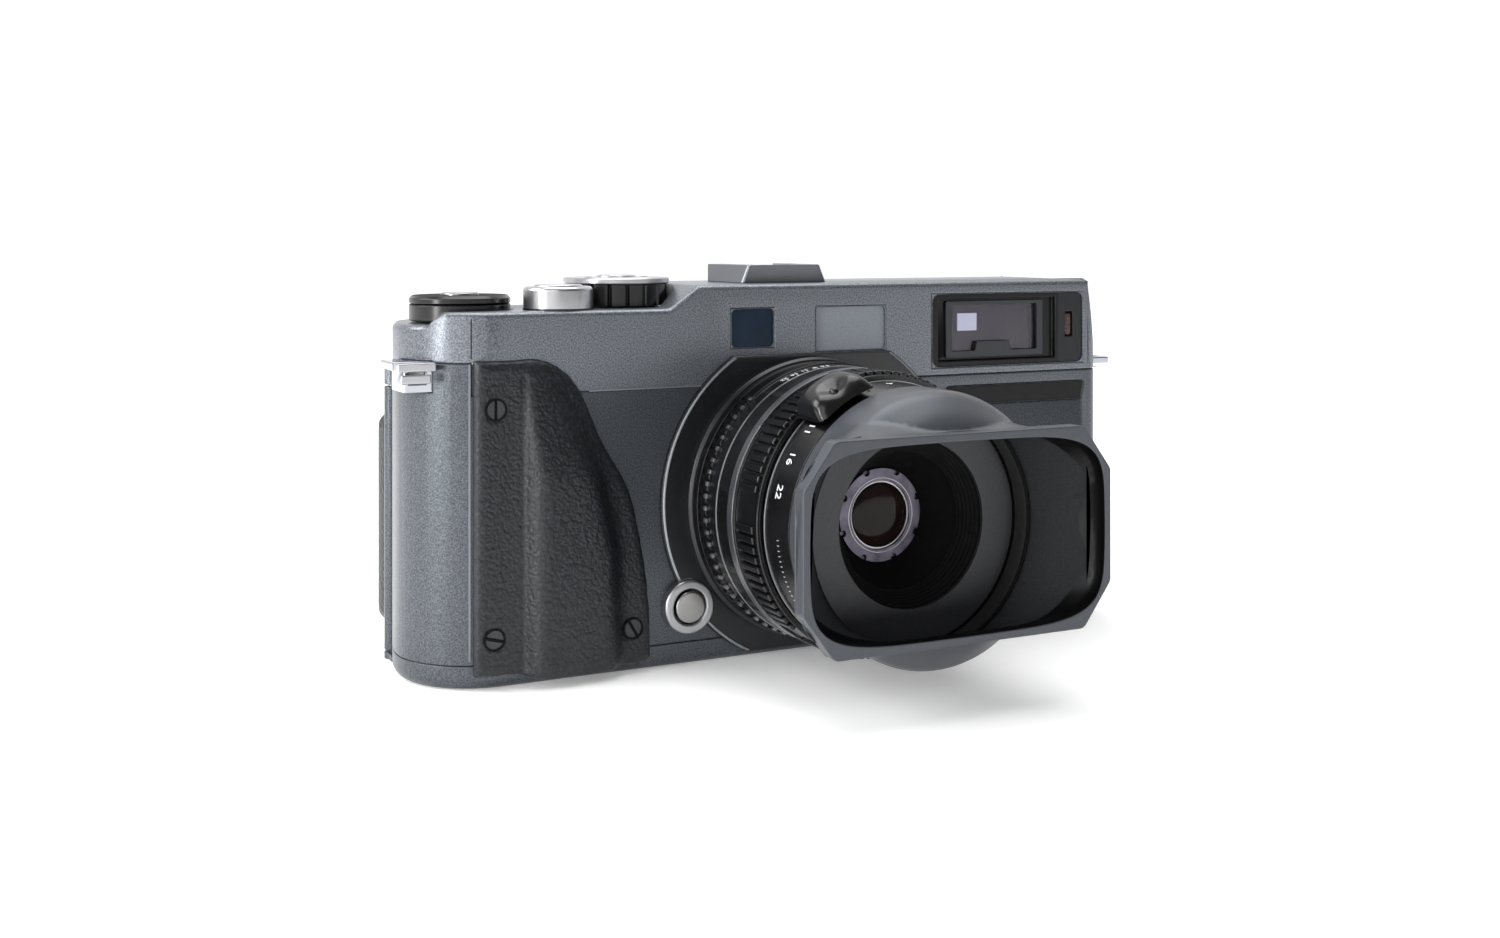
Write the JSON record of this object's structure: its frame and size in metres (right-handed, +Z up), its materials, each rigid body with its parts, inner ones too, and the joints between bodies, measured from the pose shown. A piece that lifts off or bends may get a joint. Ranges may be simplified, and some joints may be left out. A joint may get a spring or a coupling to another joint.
{
  "type": "panoramic film camera",
  "caption": "Dark metal panoramic 35 mm rangefinder camera with a ribbed wide-angle lens, a rectangular lens hood, top dials, a grip panel and a hinged back door.",
  "frame": {"origin": "mouth of the tripod socket, in the plane of the base", "axes": "+Z up, the lens looks along -Y, +X to the right in the front view"},
  "size_m": [0.1756, 0.105, 0.0834],
  "materials": {
    "dark_paint": "satin dark grey enamel",
    "black_paint": "black anodised, satin",
    "black_metal": "black anodised, semi gloss",
    "grip_rubber": "grained",
    "steel": "satin",
    "chrome": "polished",
    "black_plastic": "matte",
    "grey_ring": "satin anodised",
    "window_glass": "coated",
    "range_glass": "coated",
    "frosted": "frosted",
    "lamp_lens": "gloss",
    "lens_glass": "coated",
    "battery_case": "satin"
  },
  "bodies": {
    "camera_body": {"body_shell": "dark_paint", "top_cover": "dark_paint", "bottom_cover": "dark_paint", "grip_panel": "grip_rubber", "grip_screws": "black_metal", "lens_boss": "black_paint", "body_mount_ring": "steel", "release_ring": "steel", "release_collar": "steel", "viewfinder_bezel": "black_paint", "viewfinder_window": "window_glass", "rangefinder_window": "range_glass", "illumination_window": "frosted", "self_timer_lamp": "lamp_lens", "hot_shoe": "black_metal", "strap_lugs": "chrome", "tripod_bush": "steel", "viewfinder_block": "black_plastic", "eyepiece_frame": "black_metal", "eyepiece_glass": "window_glass", "film_gate": "steel", "light_tunnel": "black_plastic", "batteries": "battery_case", "motor": "steel", "hinge_pin": "steel", "lens_mount": "steel", "lens_barrel": "black_paint"},
    "shutter_button": {"shutter_button": "steel"},
    "mode_dial": {"mode_dial": "black_paint"},
    "mode_lock_button": {"mode_lock_button": "steel"},
    "compensation_ring": {"compensation_ring": "black_metal"},
    "speed_dial": {"speed_dial": "black_metal"},
    "lens_release_button": {"lens_release_button": "steel"},
    "focus_ring": {"focus_ring": "black_paint"},
    "inner_barrel": {"lens_core": "black_paint", "front_cell": "steel", "lens_glasses": "lens_glass", "name_ring": "grey_ring", "lens_hood": "dark_paint"},
    "aperture_ring": {"aperture_ring": "black_paint"},
    "first_curtain_lower": {"first_curtain_lower": "black_plastic"},
    "first_curtain_upper": {"first_curtain_upper": "black_plastic"},
    "second_curtain_lower": {"second_curtain_lower": "black_plastic"},
    "second_curtain_upper": {"second_curtain_upper": "black_plastic"},
    "format_selector": {"format_selector": "black_metal"},
    "format_mask_left": {"format_mask_left": "black_plastic"},
    "format_mask_right": {"format_mask_right": "black_plastic"},
    "back_door": {"back_door": "dark_paint", "thumb_rest": "grip_rubber", "pressure_plate": "black_plastic", "door_windows": "range_glass"},
    "door_latch": {"door_latch": "black_metal"},
    "take_up_spool": {"take_up_spool": "black_plastic"},
    "rewind_fork": {"rewind_fork": "steel"},
    "battery_cap": {"battery_cap": "black_plastic"},
    "iris_blade_1": {"iris_blade_1": "black_plastic"},
    "iris_blade_2": {"iris_blade_2": "black_plastic"},
    "iris_blade_3": {"iris_blade_3": "black_plastic"},
    "iris_blade_4": {"iris_blade_4": "black_plastic"},
    "iris_blade_5": {"iris_blade_5": "black_plastic"}
  },
  "joints": [
    {"name": "shutter_press", "type": "slide", "parent": "camera_body", "child": "shutter_button", "axis": [0, 0, -1], "range_m": [0, 0.0015], "stiffness_N_per_m": 800, "springref_m": -0.0015},
    {"name": "mode_turn", "type": "hinge", "parent": "camera_body", "child": "mode_dial", "pos_m": [-0.0695, 0, 0.075], "axis": [0, 0, 1], "range_deg": [-180, 120]},
    {"name": "mode_lock_press", "type": "slide", "parent": "mode_dial", "child": "mode_lock_button", "axis": [0, 0, -1], "range_m": [0, 0.0008], "stiffness_N_per_m": 800, "springref_m": -0.001},
    {"name": "compensation_turn", "type": "hinge", "parent": "camera_body", "child": "compensation_ring", "pos_m": [-0.0346, 0, 0.077], "axis": [0, 0, 1], "range_deg": [-60, 60]},
    {"name": "speed_turn", "type": "hinge", "parent": "camera_body", "child": "speed_dial", "pos_m": [-0.0346, 0, 0.08], "axis": [0, 0, 1], "range_deg": [-150, 150]},
    {"name": "lens_release_press", "type": "slide", "parent": "camera_body", "child": "lens_release_button", "axis": [0, 1, 0], "range_m": [0, 0.0012], "stiffness_N_per_m": 800, "springref_m": -0.001},
    {"name": "focus_turn", "type": "hinge", "parent": "camera_body", "child": "focus_ring", "pos_m": [0.0026, -0.044, 0.03375], "axis": [0, -1, 0], "range_deg": [0, 90]},
    {"name": "focus_travel", "type": "slide", "parent": "camera_body", "child": "inner_barrel", "axis": [0, -1, 0], "range_m": [0, 0.00309]},
    {"name": "aperture_turn", "type": "hinge", "parent": "inner_barrel", "child": "aperture_ring", "pos_m": [0.0026, -0.054, 0.03375], "axis": [0, -1, 0], "range_deg": [0, 60]},
    {"name": "iris_turn_1", "type": "hinge", "parent": "inner_barrel", "child": "iris_blade_1", "pos_m": [0.0126, -0.0412, 0.03375], "axis": [0, -1, 0], "range_deg": [0, 38]},
    {"name": "iris_turn_2", "type": "hinge", "parent": "inner_barrel", "child": "iris_blade_2", "pos_m": [0.00569, -0.0417, 0.04326], "axis": [0, -1, 0], "range_deg": [0, 38]},
    {"name": "iris_turn_3", "type": "hinge", "parent": "inner_barrel", "child": "iris_blade_3", "pos_m": [-0.00549, -0.0422, 0.03963], "axis": [0, -1, 0], "range_deg": [0, 38]},
    {"name": "iris_turn_4", "type": "hinge", "parent": "inner_barrel", "child": "iris_blade_4", "pos_m": [-0.00549, -0.0427, 0.02787], "axis": [0, -1, 0], "range_deg": [0, 38]},
    {"name": "iris_turn_5", "type": "hinge", "parent": "inner_barrel", "child": "iris_blade_5", "pos_m": [0.00569, -0.0432, 0.02424], "axis": [0, -1, 0], "range_deg": [0, 38]},
    {"name": "first_curtain_upper_drop", "type": "slide", "parent": "camera_body", "child": "first_curtain_upper", "axis": [0, 0, -1], "range_m": [0, 0.0252]},
    {"name": "first_curtain_lower_drop", "type": "slide", "parent": "camera_body", "child": "first_curtain_lower", "axis": [0, 0, -1], "range_m": [0, 0.0132]},
    {"name": "second_curtain_lower_drop", "type": "slide", "parent": "camera_body", "child": "second_curtain_lower", "axis": [0, 0, -1], "range_m": [0, 0.0252]},
    {"name": "second_curtain_upper_drop", "type": "slide", "parent": "camera_body", "child": "second_curtain_upper", "axis": [0, 0, -1], "range_m": [0, 0.0132]},
    {"name": "format_turn", "type": "hinge", "parent": "camera_body", "child": "format_selector", "pos_m": [-0.008, 0.018, 0.0685], "axis": [0, 1, 0], "range_deg": [0, 90]},
    {"name": "mask_left_turn", "type": "hinge", "parent": "camera_body", "child": "format_mask_left", "pos_m": [-0.0314, 0.0066, 0.03375], "axis": [0, 0, 1], "range_deg": [0, 90]},
    {"name": "mask_right_turn", "type": "hinge", "parent": "camera_body", "child": "format_mask_right", "pos_m": [0.0366, 0.0066, 0.03375], "axis": [0, 0, 1], "range_deg": [-90, 0]},
    {"name": "door_swing", "type": "hinge", "parent": "camera_body", "child": "back_door", "pos_m": [-0.0793, 0.0163, 0.03], "axis": [0, 0, 1], "range_deg": [0, 120]},
    {"name": "latch_slide", "type": "slide", "parent": "camera_body", "child": "door_latch", "axis": [0, 0, -1], "range_m": [0, 0.0035], "stiffness_N_per_m": 200, "springref_m": -0.003},
    {"name": "take_up_turn", "type": "hinge", "parent": "camera_body", "child": "take_up_spool", "pos_m": [-0.0502, 0.0012, 0.033], "axis": [0, 0, 1], "continuous": true},
    {"name": "rewind_turn", "type": "hinge", "parent": "camera_body", "child": "rewind_fork", "pos_m": [0.058, 0.0016, 0.056], "axis": [0, 0, 1], "continuous": true},
    {"name": "battery_cap_turn", "type": "hinge", "parent": "camera_body", "child": "battery_cap", "pos_m": [-0.0714, -0.0015, 0.002], "axis": [0, 0, 1], "range_deg": [0, 60]}
  ],
  "couplings": [
    {"joint": "focus_turn", "follows": "focus_travel", "rad_per_m": 507.6},
    {"joint": "first_curtain_lower_drop", "follows": "first_curtain_upper_drop", "ratio": 0.52361},
    {"joint": "second_curtain_upper_drop", "follows": "second_curtain_lower_drop", "ratio": 0.52361},
    {"joint": "mask_left_turn", "follows": "format_turn", "ratio": 1},
    {"joint": "mask_right_turn", "follows": "format_turn", "ratio": -1},
    {"joint": "iris_turn_1", "follows": "aperture_turn", "ratio": 0.633},
    {"joint": "iris_turn_2", "follows": "aperture_turn", "ratio": 0.633},
    {"joint": "iris_turn_3", "follows": "aperture_turn", "ratio": 0.633},
    {"joint": "iris_turn_4", "follows": "aperture_turn", "ratio": 0.633},
    {"joint": "iris_turn_5", "follows": "aperture_turn", "ratio": 0.633}
  ]
}
